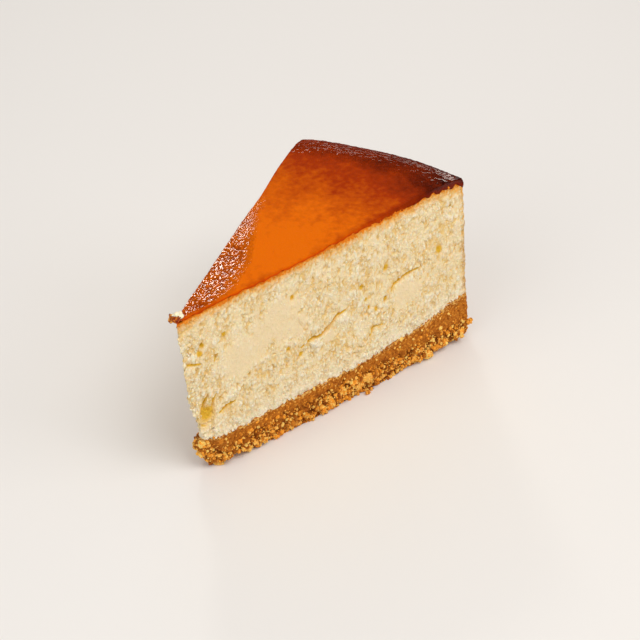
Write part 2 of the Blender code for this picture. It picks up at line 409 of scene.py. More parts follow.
def crumb_scatter():
    """Beds small lumps in a surface: each of its own size, turn and tone."""
    sizes = {
        "Lump Size": 0.8 * MM, "Least": 0.5, "Per Square Metre": 9e5,
        "Sink": 0.25, "Unevenness": 0.3, "Seed": 0.0, "Faces": 1.0,
    }
    tree, given, result = geometry_tree("crumb_scatter", sizes)
    density = maths(tree, "MULTIPLY", given["Per Square Metre"], named(tree, "crumbs"))
    inputs = {"Mesh": given["Geometry"], "Density": density, "Seed": given["Seed"]}
    spots = node(tree, "GeometryNodeDistributePointsOnFaces", inputs)
    lumps = node(tree, "GeometryNodeJoinGeometry")
    for kind in range(LUMP_KINDS):
        ball = node(
            tree, "GeometryNodeMeshIcoSphere", {"Radius": 0.5, "Subdivisions": given["Faces"]}
        ).outputs[0]
        place = node(tree, "GeometryNodeInputPosition").outputs[0]
        shift = vector_maths(tree, "ADD", place, (3.7 * kind, 1.3 * kind, 9.1))
        bumps = node(tree, "ShaderNodeTexNoise", {"Vector": shift, "Scale": 2.1, "Detail": 1.0})
        change = vector_maths(tree, "SUBTRACT", bumps.outputs["Color"], (0.5, 0.5, 0.5))
        amount = maths(tree, "MULTIPLY", given["Unevenness"], 4.0)
        change = vector_maths(tree, "SCALE", change, scale=amount)
        lump = node(tree, "GeometryNodeSetPosition", {"Geometry": ball, "Offset": change}).outputs[0]
        lump = node(tree, "GeometryNodeGeometryToInstance", {0: lump}).outputs[0]
        tree.links.new(lump, lumps.inputs[0])

    def chance(low, high, seed, kind="FLOAT"):
        made = node(tree, "FunctionNodeRandomValue", data_type=kind)
        ends = [socket for socket in made.inputs if socket.enabled and socket.name in ("Min", "Max")]
        ends[0].default_value = low
        ends[1].default_value = high
        made.inputs["Seed"].default_value = seed
        return next(socket for socket in made.outputs if socket.enabled)

    turn = chance((0, 0, 0), (6.28, 6.28, 6.28), 5, "FLOAT_VECTOR")
    least = maths(tree, "POWER", chance(0.0, 1.0, 6), 2.2)
    span = maths(tree, "SUBTRACT", 1.0, given["Least"])
    size = maths(tree, "ADD", given["Least"], maths(tree, "MULTIPLY", least, span))
    size = maths(tree, "MULTIPLY", size, given["Lump Size"])
    shape = chance((0.75, 0.75, 0.75), (1.2, 1.2, 1.2), 7, "FLOAT_VECTOR")
    scale = vector_maths(tree, "SCALE", shape, scale=size)
    sink = maths(tree, "MULTIPLY", maths(tree, "MULTIPLY", size, given["Sink"]), -1.0)
    drop = vector_maths(tree, "SCALE", spots.outputs["Normal"], scale=sink)
    beds = node(
        tree, "GeometryNodeSetPosition", {"Geometry": spots.outputs["Points"], "Offset": drop}
    ).outputs[0]
    pick = chance(0, LUMP_KINDS - 1, 8, "INT")
    placed = node(
        tree, "GeometryNodeInstanceOnPoints",
        {"Points": beds, "Instance": lumps.outputs[0], "Pick Instance": True,
         "Instance Index": pick, "Rotation": turn, "Scale": scale},
    ).outputs[0]
    placed = store(tree, placed, "tone", chance(0.0, 1.0, 9), "INSTANCE")
    real = node(tree, "GeometryNodeRealizeInstances", {0: placed}).outputs[0]
    parts = node(tree, "ShaderNodeSeparateXYZ", {0: node(tree, "GeometryNodeInputPosition").outputs[0]})
    above = maths(tree, "MAXIMUM", parts.outputs[2], 0.05 * MM)
    above = node(
        tree, "ShaderNodeCombineXYZ", {0: parts.outputs[0], 1: parts.outputs[1], 2: above}
    ).outputs[0]
    real = node(tree, "GeometryNodeSetPosition", {"Geometry": real, "Position": above}).outputs[0]
    real = node(tree, "GeometryNodeSetMaterial", {0: real, "Material": given["Material"]}).outputs[0]
    tree.links.new(real, result[0])
    return tree


# ==== shader groups ===========================================================
def shader_group(name, inputs, outputs):
    tree = bpy.data.node_groups.new(name, "ShaderNodeTree")
    for label, (kind, value) in inputs.items():
        add_socket(tree, label, kind, value)
    for label, kind in outputs.items():
        add_socket(tree, label, kind, output=True)
    return tree, tree.nodes.new("NodeGroupInput").outputs, tree.nodes.new("NodeGroupOutput").inputs


def mix(tree, factor, first, second):
    """Mixes two colours, each a socket or three plain values."""
    inputs = {0: factor}
    for index, colour in ((6, first), (7, second)):
        linked = isinstance(colour, bpy.types.NodeSocket)
        inputs[index] = colour if linked else (*colour, 1.0)
    return node(tree, "ShaderNodeMix", inputs, data_type="RGBA", clamp_factor=True).outputs[2]


def mottle_group():
    """Cloudy variation and fine speckle, used by every finish."""
    inputs = {
        "Cloud Size": ("NodeSocketFloat", 8 * MM), "Speckle Size": ("NodeSocketFloat", 0.5 * MM),
        "Seed": ("NodeSocketFloat", 0.0),
    }
    outputs = {"Cloud": "NodeSocketFloat", "Speckle": "NodeSocketFloat"}
    tree, given, result = shader_group("mottle", inputs, outputs)
    place = node(tree, "ShaderNodeTexCoord").outputs["Object"]
    for label, detail in (("Cloud", 4.0), ("Speckle", 2.0)):
        scale = maths(tree, "DIVIDE", 1.0, given[label + " Size"])
        inputs = {"Vector": place, "W": given["Seed"], "Scale": scale, "Detail": detail}
        noise = node(tree, "ShaderNodeTexNoise", inputs, noise_dimensions="4D")
        tree.links.new(noise.outputs[0], result[label])
    return tree


def grain_group():
    """Height of fine grain, finer than the mesh, for bump."""
    inputs = {"Size": ("NodeSocketFloat", 0.5 * MM), "Seed": ("NodeSocketFloat", 0.0)}
    tree, given, result = shader_group("fine_grain", inputs, {"Height": "NodeSocketFloat"})
    place = node(tree, "ShaderNodeTexCoord").outputs["Object"]
    scale = maths(tree, "DIVIDE", 1.0, given["Size"])
    inputs = {"Vector": place, "W": given["Seed"], "Scale": scale}
    cells = node(tree, "ShaderNodeTexVoronoi", inputs, voronoi_dimensions="4D").outputs["Distance"]
    wide = maths(tree, "MULTIPLY", scale, 0.45)
    cloud = node(
        tree, "ShaderNodeTexNoise",
        {"Vector": place, "W": given["Seed"], "Scale": wide, "Detail": 3.0}, noise_dimensions="4D",
    ).outputs[0]
    height = maths(tree, "SUBTRACT", cloud, maths(tree, "MULTIPLY", cells, 0.5))
    tree.links.new(height, result["Height"])
    return tree


def gap_group():
    """Thin, broken gaps between flakes: a mask, and the height of the flakes for bump."""
    inputs = {
        "Flake Size": ("NodeSocketFloat", 1.0 * MM), "Gap Width": ("NodeSocketFloat", 0.1),
        "Patch Size": ("NodeSocketFloat", 4 * MM), "Stretch": ("NodeSocketFloat", 1.0),
        "Seed": ("NodeSocketFloat", 0.0),
    }
    outputs = {"Gap": "NodeSocketFloat", "Height": "NodeSocketFloat"}
    tree, given, result = shader_group("flake_gaps", inputs, outputs)
    place = node(tree, "ShaderNodeTexCoord").outputs["Object"]
    stretch = node(tree, "ShaderNodeCombineXYZ", {0: 1.0, 1: 1.0, 2: given["Stretch"]}).outputs[0]
    spot = vector_maths(tree, "MULTIPLY", place, stretch)
    scale = maths(tree, "DIVIDE", 1.0, given["Flake Size"])
    bend = node(
        tree, "ShaderNodeTexNoise",
        {"Vector": spot, "W": given["Seed"], "Scale": maths(tree, "MULTIPLY", scale, 0.8), "Detail": 2.0},
        noise_dimensions="4D",
    ).outputs["Color"]
    bend = vector_maths(tree, "SUBTRACT", bend, (0.5, 0.5, 0.5))
    amount = maths(tree, "MULTIPLY", given["Flake Size"], 1.6)
    spot = vector_maths(tree, "ADD", spot, vector_maths(tree, "SCALE", bend, scale=amount))
    edge = node(
        tree, "ShaderNodeTexVoronoi", {"Vector": spot, "W": given["Seed"], "Scale": scale},
        voronoi_dimensions="4D", feature="DISTANCE_TO_EDGE",
    ).outputs["Distance"]
    patch = node(
        tree, "ShaderNodeTexNoise",
        {"Vector": place, "W": given["Seed"], "Detail": 2.0,
         "Scale": maths(tree, "DIVIDE", 1.0, given["Patch Size"])},
        noise_dimensions="4D",
    ).outputs[0]
    open_here = remap(tree, patch, 0.42, 0.62)
    gap = remap(tree, edge, maths(tree, "MULTIPLY", given["Gap Width"], 0.3), given["Gap Width"], 1.0, 0.0)
    tree.links.new(maths(tree, "MULTIPLY", gap, open_here), result["Gap"])
    tree.links.new(remap(tree, edge, 0.0, 0.35), result["Height"])
    return tree


MOTTLE = mottle_group()
FINE_GRAIN = grain_group()
FLAKE_GAPS = gap_group()


def use_group(tree, group, inputs):
    made = node(tree, "ShaderNodeGroup", node_tree=group)
    for key, value in inputs.items():
        made.inputs[key].default_value = value
    return made.outputs


def attribute(tree, name):
    return node(tree, "ShaderNodeAttribute", attribute_name=name).outputs["Fac"]


def food_material(name, roughness, specular=0.4):
    material = bpy.data.materials.new(name)
    material.use_nodes = True
    shader = material.node_tree.nodes["Principled BSDF"]
    shader.inputs["Roughness"].default_value = roughness
    shader.inputs["Specular IOR Level"].default_value = specular
    return material, material.node_tree, shader


def soften(shader, weight, radius, scale):
    """Light that enters the food and comes out nearby."""
    shader.inputs["Subsurface Weight"].default_value = weight
    shader.inputs["Subsurface Radius"].default_value = radius
    shader.inputs["Subsurface Scale"].default_value = scale


def add_bump(tree, shader, height, distance, strength):
    inputs = {"Height": height, "Distance": distance, "Strength": strength}
    bump = node(tree, "ShaderNodeBump", inputs)
    tree.links.new(bump.outputs["Normal"], shader.inputs["Normal"])


# ---- colours, as linear light -------------------------------------------------
CREAM = (0.95, 0.785, 0.495)
# Pale cream: the curd's own paler tone, also used as painted highlight on its grain crests.
CREAM_PALE_AND_HIGHLIGHT = (0.99, 0.92, 0.74)
# Deep cream: the curd's own golden tone, also used as painted shade in its hollows and gaps.
CREAM_DEEP_AND_SHADE = (0.88, 0.56, 0.165)
CREAM_WIPED = (0.84, 0.665, 0.40)
# Painted shade inside the cracks and pits of the cuts.
CRACK_SHADE_GOLD = (0.80, 0.46, 0.04)
WALL_GOLD = (0.74, 0.44, 0.13)
WALL_BROWN = (0.56, 0.25, 0.045)
HONEY = (0.92, 0.43, 0.070)
CARAMEL = (0.87, 0.225, 0.009)
SKIN_ORANGE = (0.75, 0.142, 0.0015)
SKIN_RUST = (0.37, 0.034, 0.0010)
SKIN_DARK = (0.17, 0.014, 0.0012)
SKIN_BURNT = (0.045, 0.0035, 0.0010)
SKIN_EDGE = (0.68, 0.070, 0.001)
SKIN_EDGE_DARK = (0.20, 0.014, 0.001)
BISCUIT = (0.43, 0.122, 0.009)
BISCUIT_GOLD = (0.98, 0.385, 0.032)
# Dark biscuit: its own dark specks, also used as painted shade in its hollows and between its crumbs.
BISCUIT_DARK_AND_SHADE = (0.17, 0.040, 0.003)
CREAM_SHADE = (0.84, 0.62, 0.32)
# Painted shade in the hollows between the skin's wet wrinkles.
SKIN_HOLLOW_SHADE = (0.30, 0.026, 0.001)
BISCUIT_WARM = (0.56, 0.195, 0.022)
BISCUIT_WALL = (0.52, 0.15, 0.015)
CRUMB_BROWN = (0.34, 0.090, 0.006)
CRUMB_PALE = (1.0, 0.70, 0.18)
FLAKE_RUST = (0.62, 0.17, 0.01)
PALE_FLOOR = (0.82, 0.80, 0.782)

# How far red, green and blue light travel inside each food, next to one another.
CURD_GLOW = (1.0, 0.5, 0.2)
SKIN_GLOW = (1.0, 0.3, 0.08)
BISCUIT_GLOW = (1.0, 0.4, 0.12)


def curd_material():
    """Pale curd with painted golden shade in its hollows, gaps and cracks and painted highlights on its
    grain crests; caramel under the skin and browned on the wall.
    """
    material, tree, shader = food_material("baked_curd", 0.60, 0.08)
    raised = attribute(tree, "raised")
    mottle = use_group(tree, MOTTLE, {"Cloud Size": 9 * MM, "Speckle Size": 0.9 * MM, "Seed": 2.0})
    flakes = use_group(tree, FLAKE_GAPS, {
        "Flake Size": 0.85 * MM, "Gap Width": 0.13, "Patch Size": 4.5 * MM, "Stretch": 0.6, "Seed": 3.0,
    })
    calm = maths(tree, "SUBTRACT", 1.0, attribute(tree, "calm"), clamp=True)
    # Painted shade: the curd is made deeper and more golden where its surface lies low, between grains.
    painted_hollow_shade = remap(tree, raised, 0.26, -0.10)
    colour = mix(tree, maths(tree, "MULTIPLY", painted_hollow_shade, 0.75), CREAM, CREAM_DEEP_AND_SHADE)
    # Painted shade in the thin gaps between flakes.
    gap = maths(tree, "MULTIPLY", flakes["Gap"], calm)
    colour = mix(tree, maths(tree, "MULTIPLY", gap, 0.45), colour, CREAM_DEEP_AND_SHADE)
    # Painted highlight on the raised crests of the grains.
    painted_crest_highlight = remap(tree, raised, 0.40, 0.62)
    colour = mix(tree, maths(tree, "MULTIPLY", painted_crest_highlight, 0.7), colour, CREAM_PALE_AND_HIGHLIGHT)
    colour = mix(tree, remap(tree, mottle["Cloud"], 0.35, 0.65, 0.0, 0.16), colour, CREAM_SHADE)
    near_base = remap(tree, attribute(tree, "above_base"), 8.0, 0.5, 0.0, 0.5)
    colour = mix(tree, near_base, colour, CREAM_PALE_AND_HIGHLIGHT)
    specks = remap(tree, mottle["Speckle"], 0.52, 0.60, 0.0, 0.9)
    specks = maths(tree, "MULTIPLY", specks, remap(tree, attribute(tree, "above_base"), 1.3, 0.3))
    colour = mix(tree, specks, colour, BISCUIT)
    wiped = remap(tree, attribute(tree, "calm"), 0.25, 0.80, 0.0, 0.8)
    colour = mix(tree, wiped, colour, CREAM_WIPED)
    # Painted shade: cracks and pits are coloured a deep golden.
    crack = remap(tree, attribute(tree, "crack"), 0.30, 0.60)
    colour = mix(tree, crack, colour, CRACK_SHADE_GOLD)
    baked = attribute(tree, "baked")
    browned = mix(tree, remap(tree, mottle["Cloud"], 0.42, 0.62), WALL_GOLD, WALL_BROWN)
    browned = mix(tree, remap(tree, mottle["Speckle"], 0.50, 0.66, 0.0, 0.6), browned, CREAM_DEEP_AND_SHADE)
    colour = mix(tree, maths(tree, "MULTIPLY", baked, 0.8), colour, browned)
    uneven = remap(tree, mottle["Cloud"], 0.3, 0.7, 0.7, 1.35)
    depth = maths(tree, "DIVIDE", attribute(tree, "under_skin"), uneven)
    # Painted shade again: in hollows the honey and caramel colour reaches further down.
    deep = maths(tree, "SUBTRACT", depth, maths(tree, "MULTIPLY", painted_hollow_shade, 0.5))
    deep = maths(tree, "ADD", deep, remap(tree, mottle["Speckle"], 0.3, 0.7, -0.8, 0.8))
    colour = mix(tree, remap(tree, deep, 4.2, 1.3), colour, HONEY)
    colour = mix(tree, remap(tree, deep, 1.8, 0.9), colour, CARAMEL)
    tree.links.new(colour, shader.inputs["Base Color"])
    soften(shader, 0.15, CURD_GLOW, 0.8 * MM)
    grain = use_group(tree, FINE_GRAIN, {"Size": 0.45 * MM, "Seed": 1.0})
    height = maths(tree, "ADD", grain["Height"], maths(tree, "MULTIPLY", flakes["Height"], 0.8))
    height = maths(tree, "MULTIPLY", height, remap(tree, attribute(tree, "calm"), 0.0, 1.0, 1.0, 0.25))
    add_bump(tree, shader, height, 0.26 * MM, 1.0)
    return material


def curd_grain_material():
    """Loose grains of curd, each a little paler or deeper."""
    material, tree, shader = food_material("curd_grain", 0.55, 0.12)
    colour = mix(tree, maths(tree, "MULTIPLY", attribute(tree, "tone"), 0.8), CREAM, CREAM_PALE_AND_HIGHLIGHT)
    tree.links.new(colour, shader.inputs["Base Color"])
    soften(shader, 0.25, CURD_GLOW, 1.0 * MM)
    grain = use_group(tree, FINE_GRAIN, {"Size": 0.4 * MM, "Seed": 4.0})
    add_bump(tree, shader, grain["Height"], 0.12 * MM, 0.7)
    return material


def skin_material():
    """Browned top: orange in the middle, rust to burnt towards the rim, wet where it rolls, with painted
    shade in the hollows between its wrinkles.
    """
    material, tree, shader = food_material("browned_skin", 0.5, 0.01)
    mottle = use_group(tree, MOTTLE, {"Cloud Size": 12 * MM, "Speckle Size": 1.9 * MM, "Seed": 7.0})
    wobble = remap(tree, mottle["Cloud"], 0.3, 0.7, -0.13, 0.13)
    speckle = remap(tree, mottle["Speckle"], 0.3, 0.7, -0.09, 0.09)
    brown = maths(tree, "ADD", attribute(tree, "browning"), maths(tree, "ADD", wobble, speckle))
    colour = mix(tree, remap(tree, brown, 0.10, 0.50), SKIN_ORANGE, SKIN_RUST)
    colour = mix(tree, remap(tree, brown, 0.50, 0.85), colour, SKIN_DARK)
    colour = mix(tree, remap(tree, brown, 0.85, 1.15), colour, SKIN_BURNT)
    wet = attribute(tree, "wet")
    # Painted shade in the hollows between the wrinkles, where the skin is wet.
    painted_hollow_shade = maths(tree, "MULTIPLY", remap(tree, attribute(tree, "raised"), 0.52, 0.25), wet)
    colour = mix(tree, maths(tree, "MULTIPLY", painted_hollow_shade, 0.6), colour, SKIN_HOLLOW_SHADE)
    edge_colour = mix(tree, remap(tree, brown, 0.20, 0.85), SKIN_EDGE, SKIN_EDGE_DARK)
    colour = mix(tree, maths(tree, "MULTIPLY", attribute(tree, "cut_edge"), 0.95), colour, edge_colour)
    tree.links.new(colour, shader.inputs["Base Color"])
    tree.links.new(remap(tree, wet, 0.0, 1.0, 0.0, 0.7), shader.inputs["Coat Weight"])
    shader.inputs["Coat Roughness"].default_value = 0.06
    tree.links.new(remap(tree, wet, 0.0, 1.0, 0.55, 0.38), shader.inputs["Roughness"])
    soften(shader, 0.10, SKIN_GLOW, 0.8 * MM)
    flakes = use_group(tree, FLAKE_GAPS, {
        "Flake Size": 0.85 * MM, "Gap Width": 0.24, "Patch Size": 6 * MM, "Stretch": 1.0, "Seed": 5.0,
    })
    grain = use_group(tree, FINE_GRAIN, {"Size": 0.9 * MM, "Seed": 3.0})
    pebbles = maths(tree, "ADD", grain["Height"], flakes["Height"])
    pebbles = maths(tree, "MULTIPLY", pebbles, remap(tree, attribute(tree, "wrinkled"), 0.1, 1.0, 0.10, 1.0))
    add_bump(tree, shader, pebbles, 0.5 * MM, 1.0)
    return material


def biscuit_material():
    """Pressed biscuit: brown and sandy, with painted shade in its hollows and between its crumbs."""
    material, tree, shader = food_material("pressed_biscuit", 0.8, 0.08)
    raised = attribute(tree, "raised")
    mottle = use_group(tree, MOTTLE, {"Cloud Size": 5 * MM, "Speckle Size": 0.8 * MM, "Seed": 5.0})
    # Painted shade: darker where the biscuit surface lies low.
    painted_hollow_shade = remap(tree, raised, 0.42, 0.05)
    colour = mix(tree, remap(tree, mottle["Speckle"], 0.42, 0.60), BISCUIT, BISCUIT_WARM)
    colour = mix(tree, maths(tree, "MULTIPLY", painted_hollow_shade, 0.85), colour, BISCUIT_DARK_AND_SHADE)
    dust = remap(tree, mottle["Speckle"], 0.58, 0.66, 0.0, 0.7)
    colour = mix(tree, dust, colour, BISCUIT_GOLD)
    dark = remap(tree, mottle["Speckle"], 0.40, 0.34, 0.0, 0.8)
    colour = mix(tree, dark, colour, BISCUIT_DARK_AND_SHADE)
    lip = remap(tree, attribute(tree, "above_foot"), 0.5, 1.0, 0.0, 0.6)
    colour = mix(tree, maths(tree, "MULTIPLY", lip, attribute(tree, "baked")), colour, BISCUIT_WALL)
    # Painted shade on the base where it shows low between its crumbs.
    between = maths(tree, "MULTIPLY", attribute(tree, "crumbs"), remap(tree, raised, 0.75, 0.30, 0.20, 0.85))
    colour = mix(tree, between, colour, BISCUIT_DARK_AND_SHADE)
    uneven = remap(tree, mottle["Speckle"], 0.3, 0.7, -0.10, 0.10)
    edge = maths(tree, "ADD", attribute(tree, "above_foot"), uneven)
    colour = mix(tree, remap(tree, edge, 0.92, 1.03, 0.0, 0.75), colour, CREAM_DEEP_AND_SHADE)
    tree.links.new(colour, shader.inputs["Base Color"])
    soften(shader, 0.06, BISCUIT_GLOW, 0.6 * MM)
    grain = use_group(tree, FINE_GRAIN, {"Size": 0.45 * MM, "Seed": 6.0})
    add_bump(tree, shader, grain["Height"], 0.18 * MM, 0.9)
    return material


def crumb_material():
    """Loose biscuit crumbs, from brown to golden."""
    material, tree, shader = food_material("biscuit_crumb", 0.62, 0.14)
    tone = attribute(tree, "tone")
    colour = mix(tree, remap(tree, tone, 0.05, 0.45), CRUMB_BROWN, BISCUIT_GOLD)
    colour = mix(tree, remap(tree, tone, 0.50, 1.0), colour, CRUMB_PALE)
    mottle = use_group(tree, MOTTLE, {"Cloud Size": 2 * MM, "Speckle Size": 0.35 * MM, "Seed": 8.0})
    colour = mix(tree, remap(tree, mottle["Speckle"], 0.55, 0.35, 0.0, 0.5), colour, BISCUIT)
    tree.links.new(colour, shader.inputs["Base Color"])
    soften(shader, 0.08, BISCUIT_GLOW, 0.6 * MM)
    grain = use_group(tree, FINE_GRAIN, {"Size": 0.3 * MM, "Seed": 9.0})
    add_bump(tree, shader, grain["Height"], 0.12 * MM, 0.8)
    return material


# ==== the cut faces' own marks ================================================
CUT_LENGTH = 113.0            # millimetres from the tip to the rim
WALL_CALM = 0.30              # how smooth the outer wall is, between 0 and 1

# Places on a cut are (distance from the top's tip, height), in millimetres.
# A crack is its run, its half width and its depth; a pit its place, radius and depth.
# A smear is its place and its two half sizes; a lobe its place, radius and height.
NEAR_CRACKS = (
    (((44.8, 32.0), (49.4, 33.3), (52.7, 33.0), (55.1, 34.2), (57.2, 35.8), (58.6, 37.4), (62.2, 38.3)),
     0.62, 1.9),
    (((81.0, 36.4), (82.2, 38.2), (84.6, 38.9), (86.9, 39.8), (89.7, 40.1), (93.6, 40.1)), 0.48, 1.4),
    (((77.8, 24.9), (74.1, 25.5), (72.5, 22.4)), 0.42, 0.9),
    (((42.8, 44.0), (44.4, 41.4), (46.6, 37.0)), 0.42, 0.5),
    (((13.4, 23.0), (16.0, 23.9), (19.2, 24.6)), 0.55, 1.2),
    (((9.4, 31.4), (8.2, 28.4), (7.3, 25.6)), 0.60, 0.9),
    (((12.6, 31.0), (11.4, 28.0), (10.8, 24.6)), 0.50, 0.8),
    (((13.6, 27.4), (15.2, 30.0)), 0.45, 0.7),
    (((20.0, 31.0), (21.4, 28.8)), 0.45, 0.6),
    (((12.4, 43.6), (13.6, 45.8)), 0.60, 0.8),
    (((5.8, 21.6), (8.4, 20.0)), 0.60, 0.7),
    (((24.4, 27.0), (26.0, 24.4)), 0.40, 0.5),
    (((2.6, 47.0), (4.7, 46.2), (7.4, 45.1)), 0.70, 0.9),
)
NEAR_PITS = (
    (41.7, 52.5, 1.0, 0.9), (9.0, 24.6, 3.0, 0.9), (7.4, 48.8, 1.2, 0.5), (16.3, 51.6, 1.0, 0.6),
    (8.4, 51.4, 1.0, 0.5), (39.9, 33.7, 0.9, 0.5), (44.6, 29.5, 1.1, 0.5), (68.8, 43.7, 1.1, 0.5),
    (78.8, 46.6, 1.3, 0.5), (71.8, 34.4, 0.8, 0.5), (74.8, 32.4, 0.9, 0.5), (78.7, 34.6, 1.0, 0.6),
    (70.6, 38.1, 0.8, 0.4), (101.7, 43.0, 1.6, 0.4),
)
NEAR_SMEARS = (
    (37.5, 47.0, 6.4, 9.0), (21.3, 40.6, 5.8, 7.8), (29.4, 43.6, 6.0, 6.0), (88.4, 32.3, 6.4, 4.2),
    (43.4, 41.4, 4.6, 4.6), (32.0, 46.0, 5.0, 5.0), (26.0, 38.0, 4.5, 4.5),
    (55.4, 31.0, 3.0, 1.9), (86.0, 36.4, 3.0, 1.6),
)
NEAR_LOBES = (
    (51.3, 31.2, 2.2, 0.8), (60.8, 35.8, 1.8, 0.6), (88.6, 38.2, 2.0, 0.4), (17.2, 27.3, 2.0, 0.7),
    (5.2, 48.2, 2.2, 0.6), (19.0, 27.9, 1.4, 0.5),
)
FAR_CRACKS = (
    (((84.0, 47.0), (81.2, 45.2), (79.0, 44.6), (77.1, 45.6), (75.5, 45.2), (73.2, 43.1), (70.5, 42.6)),
     0.40, 1.1),
    (((40.0, 29.0), (37.8, 30.1), (36.0, 30.6), (34.0, 29.6), (31.5, 29.2)), 0.38, 0.9),
    (((58.0, 22.6), (61.0, 24.4), (63.0, 24.0)), 0.45, 0.8),
    (((12.0, 36.0), (13.2, 33.0), (12.4, 30.4)), 0.55, 0.8),
)
FAR_PITS = ((22.0, 47.0, 1.3, 0.8), (66.0, 55.0, 1.0, 0.6), (92.0, 27.0, 1.5, 0.8), (48.0, 38.0, 0.9, 0.5))
FAR_SMEARS = (
    (55.0, 47.0, 9.0, 5.0), (61.0, 43.5, 5.0, 4.0), (30.0, 41.0, 5.5, 6.0), (35.0, 37.0, 4.5, 4.0),
    (88.0, 36.0, 3.6, 5.0), (70.0, 31.0, 5.0, 2.6),
)
FAR_LOBES = ((72.5, 41.0, 2.0, 0.6), (34.0, 27.6, 1.8, 0.5))


def distance_to_run(points, run):
    """Distance from points to a polyline, and how far along it they are, from 0 to 1."""
    best = np.full(len(points), 1e9)
    where = np.zeros(len(points))
    count = len(run) - 1
    for index, (start, end) in enumerate(zip(run, run[1:])):
        start, end = np.array(start), np.array(end)
        way = end - start
        part = np.clip(((points - start) @ way) / (way @ way), 0.0, 1.0)
        gap = np.linalg.norm(points - start - part[:, None] * way, axis=1)
        closer = gap < best
        best[closer] = gap[closer]
        where[closer] = (index + part[closer]) / count
    return best, where


def carve_marks(places, cracks, pits, lobes):
    """How deep each point is cut, in millimetres, and how much it lies in a crack."""
    depth = np.zeros(len(places))
    crack = np.zeros(len(places))
    for run, width, deepest in cracks:
        gap, where = distance_to_run(places, run)
        taper = np.sin(np.clip(where, 0.04, 0.96) * math.pi) ** 0.6
        here = np.exp(-((gap / (width * (0.5 + 0.5 * taper))) ** 2))
        depth += deepest * taper * here
        crack = np.maximum(crack, here * min(1.0, deepest / 1.2))
    for along, up, radius, deepest in pits:
        gap = np.hypot(places[:, 0] - along, (places[:, 1] - up) * 0.8)
        here = np.exp(-((gap / radius) ** 2.4))
        depth += deepest * here
        crack = np.maximum(crack, here * 0.72)
    for along, up, radius, tallest in lobes:
        gap = np.hypot(places[:, 0] - along, places[:, 1] - up)
        depth -= tallest * np.exp(-((gap / radius) ** 3))
    return depth, crack


def smear_marks(places, smears):
    """1 where the knife wiped the curd smooth, and 0 elsewhere."""
    calm = np.zeros(len(places))
    torn = 0.22 * ragged(places, 3.2, 5.0) + 0.16 * ragged(places, 1.2, 6.0)
    for along, up, half_along, half_up in smears:
        gap = np.hypot((places[:, 0] - along) / half_along, (places[:, 1] - up) / half_up) + torn
        calm = np.maximum(calm, np.clip(1.45 - 1.15 * gap, 0.0, 0.74))
    return calm


# ==== closed walls around the slice ===========================================
def build_mesh(name, points, faces):
    mesh = bpy.data.meshes.new(name)
    mesh.from_pydata([tuple(point) for point in points], [], faces)
    mesh.validate()
    mesh.update()
    return mesh


def side_faces(columns, rows):
    """Quads of a wall that closes on itself, with its rows stacked from the bottom."""
    faces = []
    for row in range(rows - 1):
        for column in range(columns):
            after = (column + 1) % columns
            low, high = row * columns, (row + 1) * columns
            faces.append((low + column, low + after, high + after, high + column))
    return faces


def walled_body(name, bottom, top, rows, sunk, swell):
    """A closed body with the slice's own walls; its hidden top and bottom are plain.

    The swell gives how far each wall point moves out, from its column and height.
    Returns the mesh and, for every wall point, its column, its height and its share
    of the way up.
    """
    share = np.repeat(np.linspace(0.0, 1.0, rows), COLUMNS)
    column = np.tile(np.arange(COLUMNS), rows)
    heights = bottom[column] * (1 - share) + top[column] * share
    points = np.zeros((rows * COLUMNS, 3))
    for row in range(rows):
        part = slice(row * COLUMNS, (row + 1) * COLUMNS)
        points[part, :2] = wall_points(heights[part])
        points[part, 2] = heights[part]
        points[part, :2] += OUTWARD * swell(column[part], heights[part])[:, None]
    faces = side_faces(COLUMNS, rows)
    points = list(points)
    for ring, drop, faces_up in ((rows - 1, sunk[1], True), (0, sunk[0], False)):
        start = len(points)
        for index in range(COLUMNS):
            x, y, z = points[ring * COLUMNS + index]
            way = HUB - (x, y)
            inset = LID_INSET / np.linalg.norm(way)
            points.append((x + way[0] * inset, y + way[1] * inset, z + drop))
        for index in range(COLUMNS):
            after = (index + 1) % COLUMNS
            quad = (ring * COLUMNS + index, ring * COLUMNS + after, start + after, start + index)
            faces.append(quad if faces_up else quad[::-1])
        lid = list(range(start, start + COLUMNS))
        faces.append(lid if faces_up else lid[::-1])
    mesh = build_mesh(name, points, faces)
    return mesh, column, heights, share


def pad(values, count, fill=0.0):
    """Values for the wall points, with a fill for the points of the hidden lids."""
    return np.r_[values, np.full(count - len(values), fill)]


RELIEF = crumb_relief()
SCATTER = crumb_scatter()


def wall_marks(side, places):
    """Cuts, cracks and smears for every wall point of the curd, by side."""
    depth, crack, calm = (np.zeros(len(places)) for _ in range(3))
    near, far = side == 0, side == 2
    depth[near], crack[near] = carve_marks(places[near], NEAR_CRACKS, NEAR_PITS, NEAR_LOBES)
    depth[far], crack[far] = carve_marks(places[far], FAR_CRACKS, FAR_PITS, FAR_LOBES)
    calm[near] = smear_marks(places[near], NEAR_SMEARS)
    calm[far] = smear_marks(places[far], FAR_SMEARS)
    calm[side == 1] = WALL_CALM
    return depth, crack, calm


def curd_swell(column, heights):
    """The curd's thin end is ragged: worn back low down, and notched near its top."""
    up = heights / MM
    end = np.clip(1.0 - ALONG[column] / 8.0, 0.0, 1.0)
    worn = 1.9 * np.exp(-(((up - 29.0) / 8.5) ** 2)) + 1.1 * np.exp(-(((up - 49.5) / 2.6) ** 2))
    torn = np.array([
        noise.noise(Vector((z / 3.1, 7.0, 2.0))) + noise.noise(Vector((z, 3.0, 5.0))) for z in up
    ])
    tucked = np.clip((heights - TOP_EDGE[column]) / MM + 2.2, 0.0, 1.0) * (SIDES[column] == 1)
    return ((0.55 * torn - worn) * end - 0.9 * tucked) * MM


